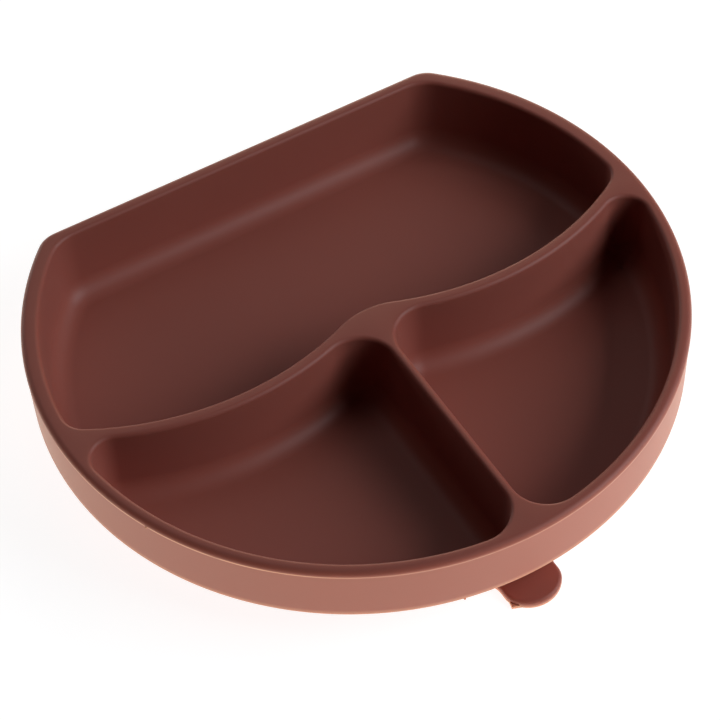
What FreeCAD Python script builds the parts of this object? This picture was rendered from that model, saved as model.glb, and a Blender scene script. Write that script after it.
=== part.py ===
# Baby suction plate: one moulded silicone piece, D-shaped, with three bays, a suction foot and a pull tab.
# Sizes are in millimetres and degrees. +X is to the right, +Y towards the straight back and +Z up.
import FreeCAD, Part
import os
from math import atan2, hypot, pi, sqrt

import Sketcher

Vector = FreeCAD.Vector
ORIGIN = (0.0, 0.0)
ON_PLANE = 1e-4

# Driving sizes: name, value, meaning.
SIZES = [
    ("plate_radius", 95.0, "radius of the round outer wall at the parting line"),
    ("back_reach", 69.3, "from the round wall's centre to the straight back"),
    ("back_corner", 8.7, "outer radius where the round wall meets the straight back"),
    ("wall_height", 17.2, "outer wall from its free lower edge to the parting line"),
    ("wall_draft", 1.2, "mould draft of the outer wall"),
    ("wall_edge_bevel", 0.5, "bevel along the outer wall's lower edge"),
    ("shoulder_height", 1.5, "height of the bevelled shoulder above the parting line"),
    ("shoulder_width", 2.1, "width of the bevelled shoulder, seen from above"),
    ("shoulder_round", 1.4, "rounding where the shoulder turns into the rim"),
    ("side_rim", 5.1, "rim width beside the large bay, shoulder included"),
    ("back_rim", 4.0, "rim width along the straight back, shoulder included"),
    ("front_rim", 3.7, "rim width round the small bays, shoulder included"),
    ("bay_depth", 24.0, "depth of the bays below the rim"),
    ("bay_draft", 3.0, "mould draft of the bay walls"),
    ("floor_round", 6.4, "radius between the bay walls and the bay floors"),
    ("lip_bevel", 0.9, "bevel along the upper edges of the bays"),
    ("floor_thickness", 2.5, "thickness under the bay floors"),
    ("hollow_height", 5.0, "height of the suction hollow's flat ceiling above the table"),
    ("divider_arc", 88.6, "radius of the main divider's two arcs, on the large bay's side"),
    ("divider_arc_side", 41.8, "sideways distance of the arcs' centres"),
    ("divider_arc_back", 75.6, "distance of the arcs' centres behind the round wall's centre"),
    ("divider_width", 3.8, "top width of the main divider"),
    ("short_divider_width", 2.7, "top width of the short divider between the small bays"),
    ("peak_round", 12.4, "radius of the divider's peak in the large bay"),
    ("large_front_corner", 7.2, "front corner radius of the large bay"),
    ("large_back_corner", 12.4, "back corner radius of the large bay"),
    ("small_outer_corner", 6.6, "outer corner radius of a small bay"),
    ("small_inner_corner", 9.5, "corner radius of a small bay beside the short divider"),
    ("bowl_inset", 2.4, "step from the outer wall in to the bowl under it"),
    ("bowl_corner", 8.0, "back corner radius of the bowl"),
    ("bowl_bevel", 3.0, "bevel round the bowl's lower edge"),
    ("foot_inset", 10.5, "from the plate's outline in to the suction foot's edge"),
    ("foot_corner", 22.0, "back corner radius of the foot"),
    ("foot_edge", 1.8, "thickness of the foot's edge and of the pull tab"),
    ("foot_edge_bevel", 0.7, "bevel along the top of the foot's edge and the tab"),
    ("foot_ledge", 1.5, "flat strip between the foot's edge and its neck"),
    ("neck_slope", 45.0, "slope of the foot's neck away from upright"),
    ("seal_land", 1.2, "width of the flat sealing ring that rests on the table"),
    ("hollow_slope", 60.0, "slope of the suction hollow's side away from upright"),
    ("tab_length", 14.5, "from the foot's edge to the tab's tip"),
    ("tab_width", 16.6, "width of the pull tab"),
    ("tab_corner", 4.0, "corner radius at the tab's tip"),
    ("tab_crown", 10.5, "radius of the tab's tip between its corners"),
    ("tab_flare", 4.0, "radius where the tab runs out into the foot's edge"),
]

# Sizes that follow from the driving ones: name, formula.
DERIVED = [
    ("bay_floor_height", "=hollow_height + floor_thickness"),
    ("rim_height", "=bay_floor_height + bay_depth"),
    ("parting_height", "=rim_height - shoulder_height"),
    ("wall_edge_height", "=parting_height - wall_height"),
    ("bowl_height", "=parting_height - hollow_height"),
    ("bowl_radius", "=plate_radius - bowl_inset"),
    ("bowl_reach", "=back_reach - bowl_inset"),
    ("foot_radius", "=plate_radius - foot_inset"),
    ("foot_reach", "=back_reach - foot_inset"),
    ("neck_radius", "=foot_radius - foot_ledge"),
    ("neck_reach", "=foot_reach - foot_ledge"),
    ("neck_corner", "=foot_corner - foot_ledge"),
    ("neck_height", "=hollow_height - foot_edge"),
    ("hollow_radius", "=foot_radius - seal_land"),
    ("hollow_reach", "=foot_reach - seal_land"),
    ("hollow_corner", "=foot_corner - seal_land"),
    ("large_bay_radius", "=plate_radius - side_rim"),
    ("large_bay_reach", "=back_reach - back_rim"),
    ("small_bay_radius", "=plate_radius - front_rim"),
    ("small_bay_arc", "=divider_arc + divider_width"),
    ("short_divider_half", "=short_divider_width / 2"),
    ("tab_half", "=tab_width / 2"),
    ("tab_reach", "=foot_radius + tab_length"),
    ("tab_crown_reach", "=tab_reach - tab_crown"),
    ("origin_shift", "=(tab_reach - back_reach) / 2"),
]


def make_sheet(doc):
    """Spreadsheet with one alias for each size."""
    sheet = doc.addObject("Spreadsheet::Sheet", "Sizes")
    rows = [(name, str(value), meaning) for name, value, meaning in SIZES]
    rows += [(name, formula, "follows from the sizes above") for name, formula in DERIVED]
    for row, (name, content, meaning) in enumerate(rows, start=1):
        sheet.setAlias(f"B{row}", name)
        sheet.set(f"A{row}", name)
        sheet.set(f"B{row}", content)
        sheet.set(f"C{row}", meaning)
    doc.recompute()
    return sheet


def distance(a, b):
    return hypot(b[0] - a[0], b[1] - a[1])


def mirrored(point):
    return -point[0], point[1]


def towards(centre, radius, target):
    """Point at radius from centre, in the direction of target."""
    share = radius / distance(centre, target)
    return centre[0] + share * (target[0] - centre[0]), centre[1] + share * (target[1] - centre[1])


def right_crossing(centre_a, radius_a, centre_b, radius_b):
    """The crossing of two circles that lies further to the right."""
    gap = distance(centre_a, centre_b)
    along = (radius_a ** 2 - radius_b ** 2 + gap ** 2) / (2 * gap)
    across = sqrt(radius_a ** 2 - along ** 2)
    ahead = (centre_b[0] - centre_a[0]) / gap, (centre_b[1] - centre_a[1]) / gap
    foot = centre_a[0] + along * ahead[0], centre_a[1] + along * ahead[1]
    return max((foot[0] - side * ahead[1], foot[1] + side * ahead[0]) for side in (across, -across))


class Outline:
    """Closed outline of lines and arcs in a sketch, each piece tangent to the next."""

    def __init__(self, sketch):
        self.sketch = sketch
        self.pieces = []

    def line(self, start, end):
        index = self.sketch.addGeometry(Part.LineSegment(Vector(*start, 0), Vector(*end, 0)))
        self.pieces.append((index, 1, 2))
        return index

    def arc(self, centre, start, end, clockwise=False):
        """Arc about centre from start to end. The sketch itself holds every arc counterclockwise."""
        first, last = (end, start) if clockwise else (start, end)
        begin = atan2(first[1] - centre[1], first[0] - centre[0])
        finish = atan2(last[1] - centre[1], last[0] - centre[0])
        if finish <= begin:
            finish += 2 * pi
        circle = Part.Circle(Vector(*centre, 0), Vector(0, 0, 1), distance(centre, start))
        index = self.sketch.addGeometry(Part.ArcOfCircle(circle, begin, finish))
        self.pieces.append((index, 2, 1) if clockwise else (index, 1, 2))
        return index

    def close(self):
        """Join each piece to the next, tangent at their common end."""
        for (piece, _, end), (other, start, _) in zip(self.pieces, self.pieces[1:] + self.pieces[:1]):
            self.sketch.addConstraint(Sketcher.Constraint("Tangent", piece, end, other, start))

    def dimension(self, alias, *constraint):
        """Dimension that takes its value from the spreadsheet."""
        value = getattr(self.sketch.Document.Sizes, alias)
        index = self.sketch.addConstraint(Sketcher.Constraint(*constraint, value))
        self.sketch.setExpression(f"Constraints[{index}]", f"Sizes.{alias}")

    def radius(self, alias, *arcs):
        for arc in arcs:
            self.dimension(alias, "Radius", arc)

    def about_origin(self, alias, *arcs):
        """Arcs of the same radius about the round wall's centre."""
        self.radius(alias, *arcs)
        for arc in arcs:
            self.sketch.addConstraint(Sketcher.Constraint("Coincident", arc, 3, -1, 1))

    def about_divider_centre(self, alias, arc, right=True):
        """Arc about one of the two centres that the main divider bends around."""
        self.radius(alias, arc)
        self.dimension("divider_arc_back", "DistanceY", -1, 1, arc, 3)
        ends = (-1, 1, arc, 3) if right else (arc, 3, -1, 1)
        self.dimension("divider_arc_side", "DistanceX", *ends)

    def level(self, alias, line):
        """Line along X, behind the round wall's centre."""
        self.sketch.addConstraint(Sketcher.Constraint("Horizontal", line))
        self.dimension(alias, "DistanceY", -1, 1, line, 1)

    def upright(self, alias, line, right=True):
        """Line along Y, at one side of the round wall's centre."""
        self.sketch.addConstraint(Sketcher.Constraint("Vertical", line))
        ends = (-1, 1, line, 1) if right else (line, 1, -1, 1)
        self.dimension(alias, "DistanceX", *ends)


def back_corner_centre(radius, reach, corner):
    """Centre of a corner arc inside the round wall and in front of the straight back."""
    return sqrt((radius - corner) ** 2 - (reach - corner) ** 2), reach - corner


def draw_wall(sketch, radius_alias, reach_alias, corner_alias):
    """Round wall with a straight back and two rounded back corners."""
    size = sketch.Document.Sizes
    radius, reach, corner = (getattr(size, alias) for alias in (radius_alias, reach_alias, corner_alias))
    centre = back_corner_centre(radius, reach, corner)
    on_wall = towards(ORIGIN, radius, centre)
    on_back = centre[0], reach
    outline = Outline(sketch)
    wall = outline.arc(ORIGIN, mirrored(on_wall), on_wall)
    right = outline.arc(centre, on_wall, on_back)
    back = outline.line(on_back, mirrored(on_back))
    left = outline.arc(mirrored(centre), mirrored(on_back), mirrored(on_wall))
    outline.close()
    outline.about_origin(radius_alias, wall)
    outline.radius(corner_alias, right, left)
    outline.level(reach_alias, back)


def draw_foot(sketch):
    """The suction foot's edge, a round wall with a straight back that runs out into the pull tab in front."""
    size = sketch.Document.Sizes
    radius, reach = size.foot_radius, size.foot_reach
    corner = back_corner_centre(radius, reach, size.foot_corner)
    on_wall = towards(ORIGIN, radius, corner)
    on_back = corner[0], reach
    flare_x = size.tab_half + size.tab_flare
    flare = flare_x, -sqrt((radius + size.tab_flare) ** 2 - flare_x ** 2)
    on_front = towards(ORIGIN, radius, flare)
    root = size.tab_half, flare[1]
    crown = 0.0, -size.tab_crown_reach
    tip_x = size.tab_half - size.tab_corner
    tip = tip_x, crown[1] - sqrt((size.tab_crown - size.tab_corner) ** 2 - tip_x ** 2)
    shoulder = size.tab_half, tip[1]
    on_crown = towards(crown, size.tab_crown, tip)

    outline = Outline(sketch)
    right_wall = outline.arc(ORIGIN, on_front, on_wall)
    right_corner = outline.arc(corner, on_wall, on_back)
    back = outline.line(on_back, mirrored(on_back))
    left_corner = outline.arc(mirrored(corner), mirrored(on_back), mirrored(on_wall))
    left_wall = outline.arc(ORIGIN, mirrored(on_wall), mirrored(on_front))
    left_flare = outline.arc(mirrored(flare), mirrored(on_front), mirrored(root), clockwise=True)
    left_side = outline.line(mirrored(root), mirrored(shoulder))
    left_tip = outline.arc(mirrored(tip), mirrored(shoulder), mirrored(on_crown))
    end = outline.arc(crown, mirrored(on_crown), on_crown)
    right_tip = outline.arc(tip, on_crown, shoulder)
    right_side = outline.line(shoulder, root)
    right_flare = outline.arc(flare, root, on_front, clockwise=True)
    outline.close()

    outline.about_origin("foot_radius", right_wall, left_wall)
    outline.radius("foot_corner", right_corner, left_corner)
    outline.level("foot_reach", back)
    outline.radius("tab_flare", left_flare, right_flare)
    outline.upright("tab_half", left_side, right=False)
    outline.upright("tab_half", right_side)
    outline.radius("tab_corner", left_tip, right_tip)
    outline.radius("tab_crown", end)
    sketch.addConstraint(Sketcher.Constraint("PointOnObject", end, 3, -2))
    outline.dimension("tab_crown_reach", "DistanceY", end, 3, -1, 1)


def draw_large_bay(sketch):
    """The large bay's mouth: straight back, round sides, and in front two arcs that meet in a peak."""
    size = sketch.Document.Sizes
    radius, reach, arc = size.large_bay_radius, size.large_bay_reach, size.divider_arc
    bend = size.divider_arc_side, size.divider_arc_back
    peak = 0.0, bend[1] - sqrt((arc + size.peak_round) ** 2 - bend[0] ** 2)
    front = right_crossing(ORIGIN, radius - size.large_front_corner, bend, arc - size.large_front_corner)
    back = back_corner_centre(radius, reach, size.large_back_corner)
    beside_peak = towards(bend, arc, peak)
    front_end = towards(bend, arc, front)
    side_start = towards(ORIGIN, radius, front)
    side_end = towards(ORIGIN, radius, back)
    on_back = back[0], reach

    outline = Outline(sketch)
    right_front = outline.arc(bend, beside_peak, front_end)
    right_front_corner = outline.arc(front, front_end, side_start)
    right_side = outline.arc(ORIGIN, side_start, side_end)
    right_back_corner = outline.arc(back, side_end, on_back)
    back_line = outline.line(on_back, mirrored(on_back))
    left_back_corner = outline.arc(mirrored(back), mirrored(on_back), mirrored(side_end))
    left_side = outline.arc(ORIGIN, mirrored(side_end), mirrored(side_start))
    left_front_corner = outline.arc(mirrored(front), mirrored(side_start), mirrored(front_end))
    left_front = outline.arc(mirrored(bend), mirrored(front_end), mirrored(beside_peak))
    top = outline.arc(peak, mirrored(beside_peak), beside_peak, clockwise=True)
    outline.close()

    outline.about_origin("large_bay_radius", right_side, left_side)
    outline.level("large_bay_reach", back_line)
    outline.about_divider_centre("divider_arc", right_front)
    outline.about_divider_centre("divider_arc", left_front, right=False)
    outline.radius("peak_round", top)
    outline.radius("large_front_corner", right_front_corner, left_front_corner)
    outline.radius("large_back_corner", right_back_corner, left_back_corner)


def draw_small_bay(sketch):
    """The right-hand small bay's mouth, between the short divider, the main divider and the round wall."""
    size = sketch.Document.Sizes
    radius, arc, half = size.small_bay_radius, size.small_bay_arc, size.short_divider_half
    inner, outer = size.small_inner_corner, size.small_outer_corner
    bend = size.divider_arc_side, size.divider_arc_back
    behind = half + inner, bend[1] - sqrt((arc + inner) ** 2 - (bend[0] - half - inner) ** 2)
    before = half + inner, -sqrt((radius - inner) ** 2 - (half + inner) ** 2)
    beside = right_crossing(ORIGIN, radius - outer, bend, arc + outer)
    divider_start = half, behind[1]
    divider_end = half, before[1]
    front_start = towards(ORIGIN, radius, before)
    front_end = towards(ORIGIN, radius, beside)
    bend_start = towards(bend, arc, beside)
    bend_end = towards(bend, arc, behind)

    outline = Outline(sketch)
    divider = outline.line(divider_start, divider_end)
    front_corner = outline.arc(before, divider_end, front_start)
    wall = outline.arc(ORIGIN, front_start, front_end)
    outer_corner = outline.arc(beside, front_end, bend_start)
    bend_side = outline.arc(bend, bend_start, bend_end, clockwise=True)
    back_corner = outline.arc(behind, bend_end, divider_start)
    outline.close()

    outline.upright("short_divider_half", divider)
    outline.about_origin("small_bay_radius", wall)
    outline.about_divider_centre("small_bay_arc", bend_side)
    outline.radius("small_inner_corner", front_corner, back_corner)
    outline.radius("small_outer_corner", outer_corner)


def origin_plane(body, role):
    return next(plane for plane in body.Origin.OriginFeatures if plane.Role == role)


def add_sketch(body, name, height, draw, *arguments):
    """Sketch on a level plane, at a height from the spreadsheet or on the table."""
    sketch = body.newObject("Sketcher::SketchObject", name)
    sketch.AttachmentSupport = [(origin_plane(body, "XY_Plane"), "")]
    sketch.MapMode = "FlatFace"
    if height:
        sketch.setExpression("AttachmentOffset.Base.z", f"Sizes.{height}")
    draw(sketch, *arguments)
    body.Document.recompute()
    return sketch


def add_extrusion(body, kind, name, sketch, length, taper=None, down=False):
    """Pad or pocket of a sketch; the taper is a formula, negative where the form narrows on its way."""
    feature = body.newObject(f"PartDesign::{kind}", name)
    feature.Profile = sketch
    feature.Reversed = down if kind == "Pad" else not down
    feature.setExpression("Length", f"Sizes.{length}")
    if taper:
        feature.setExpression("TaperAngle", taper)
    body.Document.recompute()
    return feature


def add_dressing(body, kind, name, base, edges, size):
    """Fillet or chamfer along the given edges of a feature, with its size from the spreadsheet."""
    names = [f"Edge{index}" for index, edge in enumerate(base.Shape.Edges, start=1)
             if any(edge.isSame(chosen) for chosen in edges)]
    feature = body.newObject(f"PartDesign::{kind}", name)
    feature.Base = (base, names)
    feature.setExpression("Radius" if kind == "Fillet" else "Size", f"Sizes.{size}")
    body.Document.recompute()
    return feature


def level_faces(shape, height):
    """Flat faces that lie wholly at one height."""
    return [face for face in shape.Faces
            if abs(face.BoundBox.ZMin - height) < ON_PLANE and abs(face.BoundBox.ZMax - height) < ON_PLANE]


def outer_edges(shape, height, near=None):
    """Edges round the flat faces at one height, or round the one whose middle lies nearest to a point."""
    faces = level_faces(shape, height)
    if near:
        faces = [min(faces, key=lambda face: distance((face.CenterOfMass.x, face.CenterOfMass.y), near))]
    return [edge for face in faces for edge in face.OuterWire.Edges]


def inner_edges(shape, height):
    """Edges of the openings in the flat faces at one height."""
    return [edge for face in level_faces(shape, height) for wire in face.Wires
            if not wire.isSame(face.OuterWire) for edge in wire.Edges]


def make_outside(body, size):
    """The bowl and the outer wall round it, up to the parting line, and the shoulder and rim above."""
    bowl_outline = add_sketch(body, "BowlOutline", "hollow_height", draw_wall,
                              "bowl_radius", "bowl_reach", "bowl_corner")
    bowl = add_extrusion(body, "Pad", "Bowl", bowl_outline, "bowl_height")
    add_dressing(body, "Chamfer", "BowlBevel", bowl, outer_edges(bowl.Shape, size.hollow_height),
                 "bowl_bevel")

    wall_outline = add_sketch(body, "WallOutline", "parting_height", draw_wall,
                              "plate_radius", "back_reach", "back_corner")
    wall = add_extrusion(body, "Pad", "Wall", wall_outline, "wall_height", "-Sizes.wall_draft", down=True)
    add_dressing(body, "Chamfer", "WallEdgeBevel", wall, outer_edges(wall.Shape, size.wall_edge_height),
                 "wall_edge_bevel")

    rim_outline = add_sketch(body, "RimOutline", "parting_height", draw_wall,
                             "plate_radius", "back_reach", "back_corner")
    rim = add_extrusion(body, "Pad", "Rim", rim_outline, "shoulder_height",
                        "-atan(Sizes.shoulder_width / Sizes.shoulder_height)")
    add_dressing(body, "Fillet", "ShoulderRound", rim, outer_edges(rim.Shape, size.rim_height),
                 "shoulder_round")


def make_foot(body, size):
    """The suction foot: a thin edge with the tab, a neck up to the bowl, and the hollow inside."""
    edge_outline = add_sketch(body, "FootOutline", None, draw_foot)
    edge = add_extrusion(body, "Pad", "FootEdge", edge_outline, "foot_edge")
    add_dressing(body, "Chamfer", "FootEdgeBevel", edge, outer_edges(edge.Shape, size.foot_edge),
                 "foot_edge_bevel")

    neck_outline = add_sketch(body, "NeckOutline", "foot_edge", draw_wall,
                              "neck_radius", "neck_reach", "neck_corner")
    add_extrusion(body, "Pad", "Neck", neck_outline, "neck_height", "-Sizes.neck_slope")

    hollow_outline = add_sketch(body, "HollowOutline", None, draw_wall,
                                "hollow_radius", "hollow_reach", "hollow_corner")
    add_extrusion(body, "Pocket", "SuctionHollow", hollow_outline, "hollow_height", "-Sizes.hollow_slope")


def make_bays(body, size):
    """The three bays, with their rounded floors and lips. The left small bay mirrors the right one."""
    large_outline = add_sketch(body, "LargeBayOutline", "rim_height", draw_large_bay)
    add_extrusion(body, "Pocket", "LargeBay", large_outline, "bay_depth", "-Sizes.bay_draft", down=True)
    small_outline = add_sketch(body, "SmallBayOutline", "rim_height", draw_small_bay)
    small = add_extrusion(body, "Pocket", "RightSmallBay", small_outline, "bay_depth", "-Sizes.bay_draft",
                          down=True)

    solid = body.newObject("PartDesign::Mirrored", "LeftSmallBay")
    solid.Originals = [small]
    solid.MirrorPlane = (origin_plane(body, "YZ_Plane"), [""])
    body.Tip = solid
    body.Document.recompute()

    middle = size.plate_radius / 2
    for name, inside in (("LargeFloorRound", (0.0, middle)),
                         ("RightFloorRound", (middle, -middle)),
                         ("LeftFloorRound", (-middle, -middle))):
        edges = outer_edges(solid.Shape, size.bay_floor_height, inside)
        solid = add_dressing(body, "Fillet", name, solid, edges, "floor_round")
    add_dressing(body, "Chamfer", "LipBevel", solid, inner_edges(solid.Shape, size.rim_height), "lip_bevel")


def make_plate(doc, size):
    """The whole plate, with the origin under the middle of its outline and tab, on the table."""
    body = doc.addObject("PartDesign::Body", "suction_plate")
    body.Label = "suction_plate"
    make_outside(body, size)
    make_foot(body, size)
    make_bays(body, size)
    body.setExpression("Placement.Base.y", "Sizes.origin_shift")
    doc.recompute()
    return body


def check(doc, body):
    """Stop if a feature failed, a pocket cut nothing, or the plate isn't one sound solid."""
    for item in doc.Objects:
        if {"Invalid", "Error"} & set(item.State):
            raise RuntimeError(f"{item.Name} failed: {item.State}")
        if item.TypeId == "PartDesign::Pocket" and item.Shape.Volume >= item.BaseFeature.Shape.Volume:
            raise RuntimeError(f"{item.Name} removes nothing")
    if body.Shape.isNull() or not body.Shape.isValid() or len(body.Shape.Solids) != 1:
        raise RuntimeError(f"{body.Label} isn't one sound solid")


def main():
    doc = FreeCAD.newDocument("suction_plate")
    body = make_plate(doc, make_sheet(doc))
    check(doc, body)
    os.makedirs("parts", exist_ok=True)
    body.Shape.exportStep(f"parts/{body.Label}.step")
    print(f"{body.Label}: {body.Shape.Volume / 1000:.1f} cm3")


main()
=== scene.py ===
"""Baby suction plate in moulded matte silicone: the moulding's finish, a plain pale stage and the camera.

Lengths are in metres, in the plate's own frame: +X to the right, +Y towards the straight back, +Z up.
"""

from math import atan2, cos, degrees, hypot, pi, radians, sin, sqrt, tan

import bmesh
import bpy
from mathutils import Euler, Matrix, Vector


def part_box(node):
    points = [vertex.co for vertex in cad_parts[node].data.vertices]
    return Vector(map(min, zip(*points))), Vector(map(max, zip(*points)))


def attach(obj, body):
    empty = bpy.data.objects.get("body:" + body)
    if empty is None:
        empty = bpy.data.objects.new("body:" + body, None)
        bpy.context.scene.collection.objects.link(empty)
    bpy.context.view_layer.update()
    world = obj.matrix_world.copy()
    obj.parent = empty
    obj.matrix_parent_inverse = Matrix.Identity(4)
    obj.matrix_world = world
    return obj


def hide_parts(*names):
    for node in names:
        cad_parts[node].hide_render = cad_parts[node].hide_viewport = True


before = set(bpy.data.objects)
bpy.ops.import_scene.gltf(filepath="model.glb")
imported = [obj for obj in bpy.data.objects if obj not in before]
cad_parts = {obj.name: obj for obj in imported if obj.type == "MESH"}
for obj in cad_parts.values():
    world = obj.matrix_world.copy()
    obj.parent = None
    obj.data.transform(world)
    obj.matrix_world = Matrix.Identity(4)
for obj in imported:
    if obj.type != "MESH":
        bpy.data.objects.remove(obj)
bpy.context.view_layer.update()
LOWEST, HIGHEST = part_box("suction_plate")

bl_info = {
    "name": "Suction Plate",
    "version": (1, 0, 0),
    "blender": (4, 5, 0),
    "location": "3D View > Sidebar > Plate",
    "description": "Models a child's divided silicone plate and a stage for it",
    "category": "Object",
}

NODE = "suction_plate"
BODY = "root"
MM = 0.001

# The plate's reference places: from the frame the round wall's radius and centre and the rim's height, and how far
# the straight back lies behind that centre.
PLATE_RADIUS = (HIGHEST.x - LOWEST.x) / 2
BACK_REACH = 69.3 * MM
CENTRE_Y = HIGHEST.y - BACK_REACH
RIM_HEIGHT = HIGHEST.z


def length(name, description, millimetres):
    """Property for a length that is given in millimetres."""
    return bpy.props.FloatProperty(name=name, description=description, default=millimetres * MM, unit="LENGTH",
                                   precision=5)


def angle(name, description, value):
    """Property for an angle that is given in degrees."""
    return bpy.props.FloatProperty(name=name, description=description, default=radians(value), subtype="ANGLE")


def linear(code):
    """Linear RGB of an sRGB hex colour."""
    shares = [int(code[i:i + 2], 16) / 255 for i in (1, 3, 5)]
    return tuple(share / 12.92 if share <= 0.04045 else ((share + 0.055) / 1.055) ** 2.4 for share in shares)


def colour(name, description, code):
    """Property for a colour that is given as sRGB hex."""
    return bpy.props.FloatVectorProperty(name=name, description=description, default=linear(code), size=3,
                                         subtype="COLOR", min=0.0, max=1.0)


def strength(name, description, value):
    """Property for how strong a glow is."""
    return bpy.props.FloatProperty(name=name, description=description, default=value, min=0.0)


class PlateSizes(bpy.types.PropertyGroup):
    """Sizes of the moulding that a user would change."""

    back_corner: length("Back corner", "Outer radius where the round wall meets the straight back", 8.7)
    parting_drop: length("Shoulder height", "Height of the rounded shoulder above the parting line", 1.5)
    shoulder_width: length("Shoulder width", "Width of the rounded shoulder, seen from above", 1.9)
    wall_height: length("Wall height", "Outer wall from its free edge to the parting line", 18.0)
    wall_draft: angle("Wall draft", "Mould draft of the outer wall", 1.2)
    wall_edge_round: length("Wall edge round", "Radius along the wall's free edge", 0.6)
    flash: length("Flash", "How far the parting line's flash stands out of the wall", 0.15)
    flash_height: length("Flash height", "Height of the flash below the parting line", 0.6)
    # The wall's thin lower edge gets a painted glow, paler and warmer, fading out over this height in place of light
    # coming through it.
    edge_glow_fade: length("Thin edge fade", "How far up the wall its thin lower edge looks lighter", 1.6)
    side_rim: length("Side rim", "Rim width beside the large bay", 5.1)
    back_rim: length("Back rim", "Rim width along the straight back", 4.0)
    front_rim: length("Front rim", "Rim width round the small bays", 3.7)
    bay_depth: length("Bay depth", "Depth of the bays below the rim", 24.0)
    bay_draft: angle("Bay draft", "Mould draft of the bay walls", 3.0)
    floor_round: length("Floor round", "Radius between the bay walls and floors", 6.4)
    lip_round: length("Lip round", "Radius along the bays' upper edges", 1.3)
    divider_arc: length("Divider arc", "Radius of the main divider's two arcs", 88.6)
    divider_side: length("Divider arc side", "Sideways distance of the arcs' centres", 41.8)
    divider_back: length("Divider arc back", "Distance of the arcs' centres behind the wall's centre", 75.6)
    divider_width: length("Divider width", "Top width of the main divider", 3.8)
    short_divider: length("Short divider", "Top width of the divider between the small bays", 2.7)
    peak_round: length("Peak round", "Radius of the divider's peak", 22.5)
    large_front: length("Large front corner", "Front corner radius of the large bay", 7.2)
    large_back: length("Large back corner", "Back corner radius of the large bay", 12.4)
    small_outer: length("Small outer corner", "Outer corner radius of a small bay", 6.6)
    small_inner: length("Small inner corner", "Corner radius of a small bay at the short divider", 10.5)
    bowl_inset: length("Bowl inset", "Step from the wall in to the bowl under it", 2.6)
    bowl_corner: length("Bowl corner", "Back corner radius of the bowl", 9.0)
    bowl_narrowing: length("Bowl narrowing", "How far the bowl's side slopes in above its lower bevel", 2.5)
    bowl_bevel: length("Bowl bevel", "Bevel round the bowl's lower edge", 3.0)
    foot_inset: length("Foot inset", "From the plate's outline in to the foot's edge", 10.5)
    foot_corner: length("Foot corner", "Back corner radius of the foot", 22.0)
    foot_edge: length("Foot edge", "Thickness of the foot's edge and the tab", 2.5)
    foot_round: length("Foot edge round", "Radius along the top of the foot's edge and the tab", 1.1)
    foot_ledge: length("Foot ledge", "Flat strip between the foot's edge and its neck", 1.5)
    neck_slope: angle("Neck slope", "Slope of the foot's neck away from upright", 45.0)
    seal_land: length("Seal land", "Width of the sealing ring on the table", 1.2)
    hollow_height: length("Hollow height", "Height of the suction hollow's ceiling", 5.0)
    hollow_slope: angle("Hollow slope", "Slope of the hollow's side away from upright", 60.0)
    tab_width: length("Tab width", "Width of the pull tab", 17.4)
    tab_side: length("Tab side", "How far the tab stands to the right of the middle", 0.75)
    tab_reach: length("Tab reach", "From the round wall's centre to the tab's tip", 98.3)
    tab_corner: length("Tab corner", "Corner radius at the tab's tip", 6.0)
    tab_crown: length("Tab crown", "Radius of the tab's tip between its corners", 9.5)
    tab_flare: length("Tab flare", "Radius where the tab runs out into the foot", 5.5)


class PlateColours(bpy.types.PropertyGroup):
    """Colours of the silicone and of the stage."""

    silicone: colour("Silicone", "Main colour of the moulded silicone", "#9A5144")
    silicone_deep: colour("Deep silicone", "Slightly darker colour in the pigment's cloudy places", "#934C40")
    # The thin silicone colour is a painted glow: paler and warmer, put on the flash and thin edges in place of light
    # coming through them.
    silicone_thin_glow: colour("Thin silicone", "Colour of flash and thin edges, where light comes through", "#CB8B6F")
    floor: colour("Floor", "Plain pale floor under the plate", "#F4F3F1")
    floor_shade: colour("Floor shade", "How strongly the floor shows the plate's shadow", "#989898")
    table_light: colour("Table light", "Colour of the light table's glow on the plate", "#FFFEEB")


class StageSettings(bpy.types.PropertyGroup):
    """Camera and lamps."""

    camera_azimuth: angle("Camera azimuth", "Turn of the camera from straight in front, to the right", -28.37)
    camera_elevation: angle("Camera elevation", "Height angle of the camera", 50.32)
    camera_roll: angle("Camera roll", "Turn of the camera about its own axis", -3.03)
    camera_distance: length("Camera distance", "From the camera to the point it looks at", 685.97)
    lens: bpy.props.FloatProperty(name="Lens", description="Focal length on a 36 mm sensor", default=118.34,
                                  subtype="DISTANCE_CAMERA")
    table_glow: strength("Table glow", "Light that the table gives to the plate", 1.6)
    table_white: strength("Table white", "Glow that the camera sees on the table", 0.9)
    surroundings: strength("Surroundings", "Light from all round", 0.004)


# Small helpers for outlines. A point in an outline is (x, y) from the round wall's centre.

def distance(a, b):
    """From one point to another."""
    return hypot(b[0] - a[0], b[1] - a[1])


def mirrored(point):
    """The same point on the plate's other side."""
    return -point[0], point[1]


def towards(centre, radius, target):
    """Point at radius from centre, in the direction of target."""
    share = radius / distance(centre, target)
    return centre[0] + share * (target[0] - centre[0]), centre[1] + share * (target[1] - centre[1])


def right_crossing(centre_a, radius_a, centre_b, radius_b):
    """The crossing of two circles that lies further to the right."""
    gap = distance(centre_a, centre_b)
    along = (radius_a ** 2 - radius_b ** 2 + gap ** 2) / (2 * gap)
    across = sqrt(radius_a ** 2 - along ** 2)
    ahead = (centre_b[0] - centre_a[0]) / gap, (centre_b[1] - centre_a[1]) / gap
    foot = centre_a[0] + along * ahead[0], centre_a[1] + along * ahead[1]
    return max((foot[0] - side * ahead[1], foot[1] + side * ahead[0]) for side in (across, -across))


def corner_centre(radius, reach, corner):
    """Centre of a corner arc inside the round wall and in front of the straight back."""
    return sqrt((radius - corner) ** 2 - (reach - corner) ** 2), reach - corner


ORIGIN = (0.0, 0.0)


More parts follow.
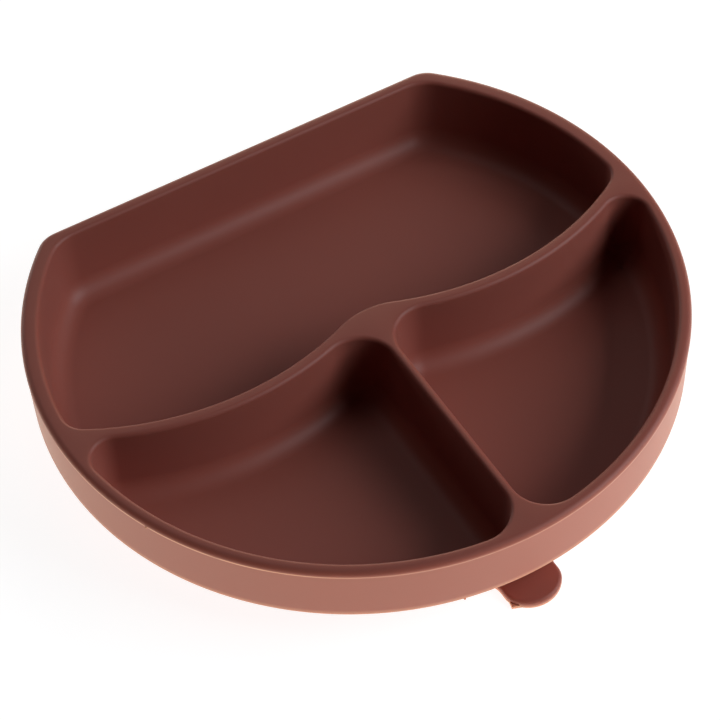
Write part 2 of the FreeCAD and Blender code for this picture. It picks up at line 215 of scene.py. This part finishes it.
def wall_outline(inset, corner):
    """Round wall with a straight back, as a start point and strokes."""
    radius, reach = PLATE_RADIUS - inset, BACK_REACH - inset
    centre = corner_centre(radius, reach, corner)
    on_wall, on_back = towards(ORIGIN, radius, centre), (centre[0], reach)
    return mirrored(on_wall), [
        ("arc", ORIGIN, on_wall, 1),
        ("arc", centre, on_back, 1),
        ("line", mirrored(on_back)),
        ("arc", mirrored(centre), mirrored(on_wall), 1),
    ]


def foot_outline(size):
    """The suction foot's edge with the pull tab in front."""
    radius, reach = PLATE_RADIUS - size.foot_inset, BACK_REACH - size.foot_inset
    corner = corner_centre(radius, reach, size.foot_corner)
    on_wall, on_back = towards(ORIGIN, radius, corner), (corner[0], reach)
    crown = size.tab_side, size.tab_crown - size.tab_reach

    def flank(side):
        """Places along one side of the tab, -1 for the left and 1 for the right, from the foot to its crown."""
        edge = size.tab_side + side * size.tab_width / 2
        flare_x = edge + side * size.tab_flare
        flare = flare_x, -sqrt((radius + size.tab_flare) ** 2 - flare_x ** 2)
        tip_x = edge - side * size.tab_corner
        tip = tip_x, crown[1] - sqrt((size.tab_crown - size.tab_corner) ** 2 - (tip_x - crown[0]) ** 2)
        return (towards(ORIGIN, radius, flare), flare, (edge, flare[1]), (edge, tip[1]), tip,
                towards(crown, size.tab_crown, tip))

    left_front, left_flare, left_root, left_shoulder, left_tip, left_crown = flank(-1)
    right_front, right_flare, right_root, right_shoulder, right_tip, right_crown = flank(1)
    return mirrored(on_wall), [
        ("arc", ORIGIN, left_front, 1),
        ("arc", left_flare, left_root, -1),
        ("line", left_shoulder),
        ("arc", left_tip, left_crown, 1),
        ("arc", crown, right_crown, 1),
        ("arc", right_tip, right_shoulder, 1),
        ("line", right_root),
        ("arc", right_flare, right_front, -1),
        ("arc", ORIGIN, on_wall, 1),
        ("arc", corner, on_back, 1),
        ("line", mirrored(on_back)),
        ("arc", mirrored(corner), mirrored(on_wall), 1),
    ]


def large_bay_outline(size, grown):
    """The large bay's mouth, grown outwards by the width of its lip."""
    radius, reach = PLATE_RADIUS - size.side_rim + grown, BACK_REACH - size.back_rim + grown
    arc, peak_round = size.divider_arc + grown, size.peak_round - grown
    front_corner, back_corner = size.large_front + grown, size.large_back + grown
    hub = size.divider_side, size.divider_back
    peak = 0.0, hub[1] - sqrt((arc + peak_round) ** 2 - hub[0] ** 2)
    front = right_crossing(ORIGIN, radius - front_corner, hub, arc - front_corner)
    back = corner_centre(radius, reach, back_corner)
    beside_peak, front_end = towards(hub, arc, peak), towards(hub, arc, front)
    side_start, side_end = towards(ORIGIN, radius, front), towards(ORIGIN, radius, back)
    on_back = back[0], reach
    return beside_peak, [
        ("arc", hub, front_end, 1),
        ("arc", front, side_start, 1),
        ("arc", ORIGIN, side_end, 1),
        ("arc", back, on_back, 1),
        ("line", mirrored(on_back)),
        ("arc", mirrored(back), mirrored(side_end), 1),
        ("arc", ORIGIN, mirrored(side_start), 1),
        ("arc", mirrored(front), mirrored(front_end), 1),
        ("arc", mirrored(hub), mirrored(beside_peak), 1),
        ("arc", peak, beside_peak, -1),
    ]


def small_bay_outline(size, grown):
    """The right-hand small bay's mouth, grown outwards by the width of its lip."""
    radius, arc = PLATE_RADIUS - size.front_rim + grown, size.divider_arc + size.divider_width - grown
    half = size.short_divider / 2 - grown
    inner, outer = size.small_inner + grown, size.small_outer + grown
    hub = size.divider_side, size.divider_back
    behind = half + inner, hub[1] - sqrt((arc + inner) ** 2 - (hub[0] - half - inner) ** 2)
    before = half + inner, -sqrt((radius - inner) ** 2 - (half + inner) ** 2)
    beside = right_crossing(ORIGIN, radius - outer, hub, arc + outer)
    divider_start, divider_end = (half, behind[1]), (half, before[1])
    front_start, front_end = towards(ORIGIN, radius, before), towards(ORIGIN, radius, beside)
    arc_start, arc_end = towards(hub, arc, beside), towards(hub, arc, behind)
    return divider_start, [
        ("line", divider_end),
        ("arc", before, front_start, 1),
        ("arc", ORIGIN, front_end, 1),
        ("arc", beside, arc_start, 1),
        ("arc", hub, arc_end, -1),
        ("arc", behind, divider_start, 1),
    ]


# Modelling by operators.

LINE_STEP = 4.0 * MM  # usual edge on a straight stroke
ARC_STEP = 1.8 * MM  # usual edge on an arc
ARC_TURN = radians(7.5)  # usual turn between two edges of a tight arc
WELD = 0.28 * MM  # an inset's points nearer than this are merged, as where a profile runs round a tight corner
TOUCH = 0.02 * MM  # points nearer than this are one point
LEVEL = 0.01 * MM  # an edge nearer than this to a height lies at it
SMOOTH_ANGLE = radians(32)  # edges that turn more than this stay sharp
# Filling needs gaps well over 0.03 units, and the rim's flat is a fraction of a millimetre wide.
FILL_SCALE = 100


def edit_mesh(piece):
    """The piece's mesh as it is in edit mode."""
    return bmesh.from_edit_mesh(piece.data)


def draw_face(name, start, strokes, height, upwards):
    """New object in edit mode: one flat face bounded by the strokes, selected, its normal up or down."""
    bpy.ops.object.select_all(action="DESELECT")
    here = Vector((start[0], start[1] + CENTRE_Y, height))
    bpy.ops.mesh.primitive_plane_add(size=MM, location=here)
    bpy.ops.object.transform_apply()
    piece = bpy.context.object
    piece.name = name
    bpy.ops.object.mode_set(mode="EDIT")
    bpy.ops.mesh.select_mode(type="VERT")
    bpy.ops.mesh.select_all(action="SELECT")
    bpy.ops.mesh.merge(type="CENTER")
    point = start
    for stroke in strokes:
        if stroke[0] == "line":
            end = stroke[1]
            steps = max(1, round(distance(point, end) / LINE_STEP))
            move = (end[0] - point[0]) / steps, (end[1] - point[1]) / steps, 0
            for _ in range(steps):
                bpy.ops.mesh.extrude_region_move(TRANSFORM_OT_translate={"value": move})
        else:
            centre, end, turn = stroke[1:]
            first = atan2(point[1] - centre[1], point[0] - centre[0])
            last = atan2(end[1] - centre[1], end[0] - centre[0])
            sweep = (turn * (last - first)) % (2 * pi)
            steps = max(2, round(sweep * distance(centre, point) / ARC_STEP), round(sweep / ARC_TURN))
            bpy.ops.mesh.spin(steps=steps, angle=-turn * sweep, center=(centre[0], centre[1] + CENTRE_Y, height),
                              axis=(0, 0, 1), use_auto_merge=False)
        point = end
    bpy.ops.mesh.select_all(action="SELECT")
    bpy.ops.mesh.remove_doubles(threshold=TOUCH)
    bpy.ops.mesh.edge_face_add()
    bpy.ops.mesh.select_mode(type="FACE")
    face = edit_mesh(piece).faces[0]
    if (face.normal.z > 0) != upwards:
        bpy.ops.mesh.flip_normals()
    return piece


def step_profile(points):
    """Insets the selected face along a profile of (inward, along the face's normal) points."""
    for before, after in zip(points, points[1:]):
        bpy.ops.mesh.inset(thickness=max(after[0] - before[0], 0.0), depth=after[1] - before[1],
                           use_even_offset=True, use_boundary=True)
        bpy.ops.mesh.remove_doubles(threshold=WELD)


def open_face():
    """Leaves the profile open where its last face was."""
    bpy.ops.mesh.delete(type="ONLY_FACE")
    bpy.ops.object.mode_set(mode="OBJECT")


def bend(centre, radius, first, last, count):
    """Profile points round an arc, with its angles in degrees."""
    turns = [radians(first + (last - first) * i / count) for i in range(count + 1)]
    return [(centre[0] + radius * cos(turn), centre[1] + radius * sin(turn)) for turn in turns]


def straight(start, end, count):
    """Profile points along a line, without its start."""
    return [(start[0] + (end[0] - start[0]) * i / count, start[1] + (end[1] - start[1]) * i / count)
            for i in range(1, count + 1)]


def resize_all(factor):
    """Resizes the whole mesh in edit mode about the origin."""
    bpy.ops.mesh.select_all(action="SELECT")
    bpy.ops.transform.resize(value=(factor, factor, factor), center_override=(0, 0, 0))


def close_level(piece, height):
    """Fills the flat between the open edges at one height. The mesh is FILL_SCALE times its size meanwhile."""
    bpy.ops.mesh.select_all(action="DESELECT")
    for edge in edit_mesh(piece).edges:
        if edge.is_boundary and all(abs(vertex.co.z / FILL_SCALE - height) < LEVEL for vertex in edge.verts):
            edge.select_set(True)
    bmesh.update_edit_mesh(piece.data)
    bpy.ops.mesh.fill(use_beauty=True)


def close_profile(piece, height):
    """Closes the profile with triangles at the height of its last face."""
    bpy.ops.mesh.delete(type="ONLY_FACE")
    resize_all(FILL_SCALE)
    bpy.ops.mesh.select_mode(type="EDGE")
    close_level(piece, height)
    resize_all(1 / FILL_SCALE)
    bpy.ops.object.mode_set(mode="OBJECT")


# Point attribute of the moulding's mesh that the silicone's material reads: how much painted glow each vertex gets,
# standing in for light coming through thin rubber.
THIN_GLOW = "thin_edge_glow"


def mark_thin_glow(piece, share):
    """Stores how much painted glow each vertex gets, from 0 to 1, as share tells from its place; the glow stands in
    for light coming through thin rubber.
    """
    thin = piece.data.attributes.new(THIN_GLOW, "FLOAT", "POINT")
    for vertex in piece.data.vertices:
        thin.data[vertex.index].value = share(vertex.co)


def polar(radius, turn):
    """Point at a radius and an angle in degrees about the round wall's centre."""
    return radius * cos(radians(turn)), radius * sin(radians(turn))


# Directions, in degrees about the round wall's centre, where the painted glow along the parting line's flash breaks
# off; the flash's shape is not cut there.
GLOW_BREAKS = (-156.2, -143.5, -61.0)
GLOW_BREAK_SHARE = 0.15  # how much of the flash's painted glow is left in a break's middle
GLOW_BREAK_TURN = 1.2  # degrees beside a break in which the painted glow would grow back to full

# How strongly the flash's painted glow shows round the wall: pairs of direction in degrees and share. It is full at
# the front left, weaker along the rest of the front and the right, and none behind; the flash's shape is the same
# all round.
FLASH_GLOW = ((-180, 1), (-136, 1), (-118, 0.35), (30, 0.35), (50, 0), (180, 0))
BEAD = 0.4, 0.6  # the flash's upper point, as shares of its reach and height
BELOW_FLASH = 0.3 * MM  # from the flash down to where the painted glow has faded and the wall has its own colour again
EDGE_SHARE = 0.6  # how much painted glow the wall gets where its free edge begins to turn

# Steps round the rim's shoulder in degrees, from the parting line up.
SHOULDER_TURNS = (7, 18, 28, 38, 48, 58, 68, 79, 90)
UNDER_ROUND = 0.25 * MM  # radius under the foot's edge and the tab

# Bits of flash left by the mould: name, outline corners from the round wall's centre, height and thickness, in
# millimetres.
FLASH_BITS = (
    ("TabFlash", ((-7.4, -91.6), (-8.05, -94.8), (-4.2, -96.3), (-3.8, -94.6)), 0.03, 1.0),
    ("WallTooth", (polar(94.7, -156.7), polar(95.25, -156.2), polar(94.7, -155.9)), 29.3, 0.4),
    ("WallCrumb", (polar(94.2, -103.3), polar(94.7, -103.2), polar(94.7, -102.9), polar(94.2, -102.8)),
     11.85, 0.4),
)

SHELLS = ("Rim", "Wall", "Bowl", "LargeBay", "RightSmallBay", "LeftSmallBay", "FootTop", "FootSide", "Neck",
          "Hollow", *(bit[0] for bit in FLASH_BITS))


def wall_edge_height(size):
    """Height of the outer wall's free edge."""
    return RIM_HEIGHT - size.parting_drop - size.wall_height


def flash_glow(place):
    """How strongly the parting line's flash is painted with glow at a place: as set round the wall there, and least
    at a break.
    """
    turn = degrees(atan2(place.y - CENTRE_Y, place.x))
    stretches = zip(FLASH_GLOW, FLASH_GLOW[1:])
    (start, before), (end, after) = next(pair for pair in stretches if turn <= pair[1][0])
    glow_here = before + (after - before) * (turn - start) / (end - start)
    return min(glow_here, min(GLOW_BREAK_SHARE + abs(turn - glow_break) / GLOW_BREAK_TURN for glow_break in GLOW_BREAKS))


def model_rim(size):
    """The rounded shoulder from the parting line's flash up to the rim."""
    parting = RIM_HEIGHT - size.parting_drop
    piece = draw_face("Rim", *wall_outline(0, size.back_corner), parting, True)
    turns = [radians(turn) for turn in SHOULDER_TURNS]
    shoulder = [(size.shoulder_width * (1 - cos(turn)), size.parting_drop * sin(turn)) for turn in turns]
    step_profile([(0, 0)] + shoulder)
    open_face()
    # Painted glow on the flash's upper edge at the parting line, standing in for light coming through it.
    mark_thin_glow(piece, lambda place: flash_glow(place) if place.z < parting + TOUCH else 0.0)


def model_wall(size):
    """The drafted outer wall under the flash, round its free edge to its underside."""
    parting = RIM_HEIGHT - size.parting_drop
    piece = draw_face("Wall", *wall_outline(0, size.back_corner), parting, False)
    edge = size.wall_edge_round
    edge_inset = size.wall_height * tan(size.wall_draft)
    wall_end = edge_inset - edge * tan(size.wall_draft), size.wall_height - edge
    bead = size.flash * BEAD[0], size.flash_height * BEAD[1]
    foot = size.flash, size.flash_height
    fade = wall_end[0] - size.edge_glow_fade * tan(size.wall_draft), wall_end[1] - size.edge_glow_fade
    corner = bend((wall_end[0] + edge, wall_end[1]), edge, 180, 90, count=4)
    below = foot[0], foot[1] + BELOW_FLASH
    step_profile([(0, 0), bead, foot, below] + straight(below, fade, count=5) + [wall_end] + corner[1:])
    open_face()

    def wall_glow(place):
        """Painted glow at the flash, as strong as it is set round the wall there, and along the free edge."""
        drop = parting - place.z
        if drop < bead[1] + TOUCH:
            return flash_glow(place)
        if drop < wall_end[1] - TOUCH:
            return 0.0
        return EDGE_SHARE if drop < wall_end[1] + TOUCH else 1.0

    mark_thin_glow(piece, wall_glow)


def model_bowl(size):
    """The bowl that carries the bays, from the wall's underside down to its bevelled lower edge."""
    depth = wall_edge_height(size) - size.hollow_height
    bevel = size.bowl_bevel
    draw_face("Bowl", *wall_outline(size.bowl_inset, size.bowl_corner), wall_edge_height(size), False)
    side_end = size.bowl_narrowing, depth - bevel
    lower_edge = side_end[0] + bevel, depth
    step_profile([(0, 0)] + straight((0, 0), side_end, count=2) + straight(side_end, lower_edge, count=2))
    open_face()


def lip_reach(size):
    """How far a lip's rounding reaches onto the rim."""
    return size.lip_round * tan((pi / 2 - size.bay_draft) / 2)


def bay_profile(size):
    """Lip, drafted wall and floor round of a bay: (inward, downward) points from the lip's outer edge."""
    draft = size.bay_draft
    across = degrees(draft)
    lip_centre = -lip_reach(size), -size.lip_round
    lip = [(x, -y) for x, y in bend(lip_centre, size.lip_round, 90, across, count=6)]
    floor_reach = size.floor_round * tan((pi / 2 - draft) / 2)
    floor_inset = size.bay_depth * tan(draft) + floor_reach
    centre = floor_inset, size.bay_depth - size.floor_round
    floor = bend(centre, size.floor_round, 180 - across, 90, count=12)
    return lip + straight(lip[-1], floor[0], count=4) + floor[1:]


def model_bay(size, name, outline):
    """One bay, from the lip's outer edge down to its floor."""
    piece = draw_face(name, *outline(size, lip_reach(size)), RIM_HEIGHT, True)
    step_profile([(inward, -down) for inward, down in bay_profile(size)])
    close_profile(piece, RIM_HEIGHT - size.bay_depth)


def mirror_copy(name):
    """A copy of the active object on the plate's other side."""
    bpy.ops.object.duplicate()
    bpy.context.object.name = name
    bpy.ops.transform.mirror(constraint_axis=(True, False, False), center_override=(0, 0, 0))
    bpy.ops.object.transform_apply()


def model_foot(size):
    """The suction foot's edge and tab, its neck up to the bowl, and the hollow inside."""
    edge = size.foot_edge
    radius = size.foot_round
    start, strokes = foot_outline(size)
    draw_face("FootTop", start, strokes, edge - radius, True)
    step_profile(bend((radius, 0), radius, 180, 90, count=5))
    open_face()
    piece = draw_face("FootSide", start, strokes, edge - radius, False)
    side_end = edge - radius - UNDER_ROUND
    under = bend((UNDER_ROUND, side_end), UNDER_ROUND, 180, 90, count=3)
    step_profile([(0, 0), (0, side_end)] + under[1:])
    open_face()
    # Painted glow on the side and underside of the foot's edge and the tab, standing in for light coming through
    # them.
    mark_thin_glow(piece, lambda place: 0.0 if place.z > edge - radius - TOUCH else 1.0)

    base = size.foot_inset + size.foot_ledge
    rise = size.hollow_height - edge
    draw_face("Neck", *wall_outline(base, size.foot_corner - size.foot_ledge), edge, True)
    step_profile([(0, 0)] + straight((0, 0), (rise * tan(size.neck_slope), rise), count=3))
    open_face()

    seal = size.foot_inset + size.seal_land
    height = size.hollow_height
    piece = draw_face("Hollow", *wall_outline(seal, size.foot_corner - size.seal_land), 0, False)
    step_profile([(0, 0)] + straight((0, 0), (height * tan(size.hollow_slope), -height), count=4))
    close_profile(piece, height)


def model_flash():
    """Bits of flash on the tab and the wall, each a thin plate sunk into the rubber."""
    for name, corners, height, thickness in FLASH_BITS:
        points = [(x * MM, y * MM) for x, y in corners]
        strokes = [("line", point) for point in points[1:] + points[:1]]
        piece = draw_face(name, points[0], strokes, height * MM, False)
        bpy.ops.mesh.extrude_region_move(TRANSFORM_OT_translate={"value": (0, 0, thickness * MM)})
        bpy.ops.object.mode_set(mode="OBJECT")
        # Painted glow over each bit of flash, standing in for light coming through it.
        mark_thin_glow(piece, lambda place: 1.0)


def join_moulding(size):
    """Joins the shells into one closed skin: fills the flats between them and turns the faces outwards."""
    bpy.ops.object.select_all(action="DESELECT")
    shells = [bpy.data.objects[name] for name in SHELLS]
    for shell in shells:
        shell.select_set(True)
    piece = shells[0]
    bpy.context.view_layer.objects.active = piece
    bpy.ops.object.join()
    piece.name = piece.data.name = "plate_moulding"
    bpy.ops.object.mode_set(mode="EDIT")
    bpy.ops.mesh.select_mode(type="VERT")
    bpy.ops.mesh.select_all(action="SELECT")
    bpy.ops.mesh.remove_doubles(threshold=TOUCH)
    resize_all(FILL_SCALE)
    bpy.ops.mesh.select_mode(type="EDGE")
    for height in (RIM_HEIGHT, wall_edge_height(size), size.hollow_height, size.foot_edge, 0.0):
        close_level(piece, height)
    resize_all(1 / FILL_SCALE)
    bpy.ops.mesh.normals_make_consistent(inside=False)
    mesh = edit_mesh(piece)
    if not all(edge.is_manifold for edge in mesh.edges):
        raise RuntimeError("the moulding isn't a closed skin")
    if mesh.calc_volume() < 0:
        raise RuntimeError("the moulding is inside out")
    bpy.ops.object.mode_set(mode="OBJECT")
    bpy.ops.object.shade_smooth_by_angle(angle=SMOOTH_ANGLE)
    return piece


class PLATE_OT_wall(bpy.types.Operator):
    """Model the rim's shoulder, the outer wall and the bowl under it"""

    bl_idname = "plate.wall"
    bl_label = "Model Wall"

    def execute(self, context):
        size = context.scene.plate_sizes
        model_rim(size)
        model_wall(size)
        model_bowl(size)
        return {"FINISHED"}


class PLATE_OT_bays(bpy.types.Operator):
    """Model the large bay and the two small ones, which mirror each other"""

    bl_idname = "plate.bays"
    bl_label = "Model Bays"

    def execute(self, context):
        size = context.scene.plate_sizes
        model_bay(size, "LargeBay", large_bay_outline)
        model_bay(size, "RightSmallBay", small_bay_outline)
        mirror_copy("LeftSmallBay")
        return {"FINISHED"}


class PLATE_OT_foot(bpy.types.Operator):
    """Model the suction foot with its pull tab, neck and hollow"""

    bl_idname = "plate.foot"
    bl_label = "Model Foot"

    def execute(self, context):
        model_foot(context.scene.plate_sizes)
        return {"FINISHED"}


class PLATE_OT_flash(bpy.types.Operator):
    """Model the bits of flash that the mould left"""

    bl_idname = "plate.flash"
    bl_label = "Model Flash"

    def execute(self, context):
        model_flash()
        return {"FINISHED"}


# Materials.

PIGMENT_CLOUD = 35 * MM  # size of the pigment's faint clouds
# Size of the grain. A blasted mould's is about a tenth of a millimetre, and it is drawn coarser so that it shows.
SKIN_GRAIN = 0.7 * MM
GRAIN_HEIGHT = 0.02 * MM  # how deep the grain is
LIGHT_DEPTH = 2.5 * MM  # how far red light travels in the rubber


def add_node(tree, kind, values=None, links=None, **settings):
    """Adds a node with its settings, input values and links from (node, output) pairs."""
    node = tree.nodes.new(kind)
    for name, value in settings.items():
        setattr(node, name, value)
    for name, value in (values or {}).items():
        node.inputs[name].default_value = value
    for name, (source, output) in (links or {}).items():
        tree.links.new(source.outputs[output], node.inputs[name])
    return node


def matte_silicone(colours):
    """Compression-moulded, pigmented food-grade silicone.

    The blasted mould leaves an even, dull skin with broad soft highlights. A little light enters the rubber, and the
    pigment is faintly cloudy. On thin edges and flash a paler, warmer colour is painted in, a painted glow standing
    in for light coming through them.
    """
    material = bpy.data.materials.new("compression-moulded matte silicone")
    material.use_nodes = True
    tree = material.node_tree
    tree.nodes.clear()
    place = add_node(tree, "ShaderNodeTexCoord")
    cloud = add_node(tree, "ShaderNodeTexNoise", {"Scale": 1 / PIGMENT_CLOUD, "Detail": 3},
                     {"Vector": (place, "Object")})
    pigment = add_node(tree, "ShaderNodeMix", {"A": (*colours.silicone_deep, 1), "B": (*colours.silicone, 1)},
                       {"Factor": (cloud, "Fac")}, data_type="RGBA")
    # The thin silicone colour is mixed in as a painted glow where the attribute says so, standing in for light
    # coming through thin rubber.
    thin = add_node(tree, "ShaderNodeAttribute", attribute_name=THIN_GLOW, attribute_type="GEOMETRY")
    pigment_and_glow = add_node(tree, "ShaderNodeMix", {"B": (*colours.silicone_thin_glow, 1)},
                           {"Factor": (thin, "Fac"), "A": (pigment, "Result")}, data_type="RGBA")
    dullness = add_node(tree, "ShaderNodeMapRange", {"To Min": 0.49, "To Max": 0.55}, {"Value": (cloud, "Fac")})
    grain = add_node(tree, "ShaderNodeTexNoise", {"Scale": 1 / SKIN_GRAIN, "Detail": 2},
                     {"Vector": (place, "Object")})
    bump = add_node(tree, "ShaderNodeBump", {"Strength": 0.35, "Distance": GRAIN_HEIGHT},
                    {"Height": (grain, "Fac")})
    skin = add_node(tree, "ShaderNodeBsdfPrincipled",
                    {"IOR": 1.41, "Subsurface Weight": 0.15, "Subsurface Radius": (1.0, 0.32, 0.2),
                     "Subsurface Scale": LIGHT_DEPTH, "Sheen Weight": 0.05, "Sheen Roughness": 0.5},
                    {"Base Color": (pigment_and_glow, "Result"), "Roughness": (dullness, "Result"),
                     "Normal": (bump, "Normal")})
    add_node(tree, "ShaderNodeOutputMaterial", links={"Surface": (skin, "BSDF")})
    return material


class PLATE_OT_moulding(bpy.types.Operator):
    """Join the shells into the one moulding and give it its silicone"""

    bl_idname = "plate.moulding"
    bl_label = "Finish Moulding"

    def execute(self, context):
        piece = join_moulding(context.scene.plate_sizes)
        piece.data.materials.append(matte_silicone(context.scene.plate_colours))
        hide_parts(NODE)
        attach(piece, BODY)
        return {"FINISHED"}


# The stage.

LOOK_AT = Vector((-1.61 * MM, 10.84 * MM, 8.74 * MM))  # what the camera and the lamps are turned to
SENSOR_WIDTH = 36  # in millimetres
FLOOR_WIDTH = 6  # in metres
BACKDROP_WHITE = 1.0  # strength that the camera sees as plain white


def add_camera(stage):
    """The camera, turned about the vertical, raised and rolled about its own axis."""
    turn = Euler((pi / 2 - stage.camera_elevation, 0, stage.camera_azimuth)).to_matrix()
    turn = turn @ Matrix.Rotation(stage.camera_roll, 3, "Z")
    place = LOOK_AT + turn @ Vector((0, 0, stage.camera_distance))
    bpy.ops.object.camera_add(location=place, rotation=turn.to_euler())
    camera = bpy.context.object
    camera.name = camera.data.name = "Camera"
    camera.data.lens = stage.lens
    camera.data.sensor_width = SENSOR_WIDTH
    bpy.context.scene.camera = camera


def add_lamp(name, azimuth, elevation, away, width, height, power, tint):
    """Area lamp seen from the plate at an azimuth to the right of straight in front, and an elevation."""
    turn = Euler((pi / 2 - radians(elevation), 0, radians(azimuth)))
    place = LOOK_AT + turn.to_matrix() @ Vector((0, 0, away))
    bpy.ops.object.light_add(type="AREA", location=place, rotation=turn)
    lamp = bpy.context.object
    lamp.name = lamp.data.name = name
    lamp.data.shape = "RECTANGLE"
    lamp.data.size, lamp.data.size_y = width, height
    lamp.data.energy = power
    lamp.data.color = linear(tint)


def add_floor(colours, stage):
    """A wide light table under matte white paper.

    It looks evenly white, with a faint soft shadow of the plate, and its glow lights the wall from below.
    """
    bpy.ops.object.select_all(action="DESELECT")
    bpy.ops.mesh.primitive_plane_add(size=FLOOR_WIDTH)
    floor = bpy.context.object
    floor.name = floor.data.name = "Floor"
    material = bpy.data.materials.new("matte white paper")
    material.use_nodes = True
    nodes = material.node_tree
    nodes.nodes.clear()
    paper = add_node(nodes, "ShaderNodeBsdfDiffuse", {"Color": (*colours.floor, 1), "Roughness": 0})
    shade = add_node(nodes, "ShaderNodeBsdfDiffuse", {"Color": (*colours.floor_shade, 1), "Roughness": 0})
    glow = add_node(nodes, "ShaderNodeEmission", {"Strength": stage.table_glow, "Color": (*colours.table_light, 1)})
    white = add_node(nodes, "ShaderNodeEmission", {"Strength": stage.table_white})
    light = add_node(nodes, "ShaderNodeAddShader", links={0: (paper, 0), 1: (glow, 0)})
    picture = add_node(nodes, "ShaderNodeAddShader", links={0: (shade, 0), 1: (white, 0)})
    seen = add_node(nodes, "ShaderNodeLightPath")
    choice = add_node(nodes, "ShaderNodeMixShader",
                      links={0: (seen, "Is Camera Ray"), 1: (light, 0), 2: (picture, 0)})
    # From below, the table is clear, so that the foot can be looked at.
    side = add_node(nodes, "ShaderNodeNewGeometry")
    clear = add_node(nodes, "ShaderNodeBsdfTransparent")
    both = add_node(nodes, "ShaderNodeMixShader",
                    links={0: (side, "Backfacing"), 1: (choice, 0), 2: (clear, 0)})
    add_node(nodes, "ShaderNodeOutputMaterial", links={"Surface": (both, 0)})
    floor.data.materials.append(material)


def set_world(level):
    """Even white surroundings: plain white to the camera, dimmer as a light."""
    world = bpy.data.worlds.new("White surroundings")
    world.use_nodes = True
    nodes = world.node_tree
    nodes.nodes.clear()
    seen = add_node(nodes, "ShaderNodeLightPath")
    dim = add_node(nodes, "ShaderNodeBackground", {"Color": (1, 1, 1, 1), "Strength": level})
    white = add_node(nodes, "ShaderNodeBackground", {"Color": (1, 1, 1, 1), "Strength": BACKDROP_WHITE})
    choice = add_node(nodes, "ShaderNodeMixShader",
                      links={0: (seen, "Is Camera Ray"), 1: (dim, 0), 2: (white, 0)})
    add_node(nodes, "ShaderNodeOutputWorld", links={"Surface": (choice, 0)})
    bpy.context.scene.world = world


# Name, azimuth and elevation in degrees, distance, width and height in metres, power in watts, tint.
LAMPS = (
    ("KeySoftbox", 52, 34, 1.2, 0.85, 0.65, 10.2, "#EEF9FF"),
    ("BackSoftbox", 180, 66, 1.2, 0.7, 0.6, 1.1, "#FFFFFF"),
    ("RearFill", 150, 36, 1.2, 0.5, 0.5, 0.7, "#FFFFFF"),
    ("EdgeLamp", 148, 9, 1.2, 0.5, 0.3, 3.8, "#FFE2C4"),
    ("LowStrip", -170, 9, 1.2, 0.5, 0.3, 1.75, "#FFFFFF"),
)


class PLATE_OT_stage(bpy.types.Operator):
    """Add the floor, surroundings, lamps and camera"""

    bl_idname = "plate.stage"
    bl_label = "Add Stage"

    def execute(self, context):
        stage = context.scene.plate_stage
        add_floor(context.scene.plate_colours, stage)
        set_world(stage.surroundings)
        for lamp in LAMPS:
            add_lamp(*lamp)
        add_camera(stage)
        context.scene.view_settings.view_transform = "Standard"
        return {"FINISHED"}


STEPS = (PLATE_OT_wall, PLATE_OT_bays, PLATE_OT_foot, PLATE_OT_flash, PLATE_OT_moulding, PLATE_OT_stage)


class PLATE_PT_panel(bpy.types.Panel):
    """The plate's sizes and modelling steps"""

    bl_idname = "PLATE_PT_panel"
    bl_label = "Suction Plate"
    bl_space_type = "VIEW_3D"
    bl_region_type = "UI"
    bl_category = "Plate"

    def draw(self, context):
        scene = context.scene
        column = self.layout.column()
        for step in STEPS:
            column.operator(step.bl_idname)
        for group in (scene.plate_sizes, scene.plate_colours, scene.plate_stage):
            for name in type(group).__annotations__:
                column.prop(group, name)


CLASSES = (PlateSizes, PlateColours, StageSettings, *STEPS, PLATE_PT_panel)


def register():
    """Adds the classes and the scene's settings."""
    for item in CLASSES:
        bpy.utils.register_class(item)
    bpy.types.Scene.plate_sizes = bpy.props.PointerProperty(type=PlateSizes)
    bpy.types.Scene.plate_colours = bpy.props.PointerProperty(type=PlateColours)
    bpy.types.Scene.plate_stage = bpy.props.PointerProperty(type=StageSettings)


def unregister():
    """Takes the settings and the classes away again."""
    del bpy.types.Scene.plate_sizes, bpy.types.Scene.plate_colours, bpy.types.Scene.plate_stage
    for item in reversed(CLASSES):
        bpy.utils.unregister_class(item)


def main():
    """Models the plate and its stage."""
    register()
    bpy.ops.plate.wall()
    bpy.ops.plate.bays()
    bpy.ops.plate.foot()
    bpy.ops.plate.flash()
    bpy.ops.plate.moulding()
    bpy.ops.plate.stage()


if __name__ == "__main__":
    main()
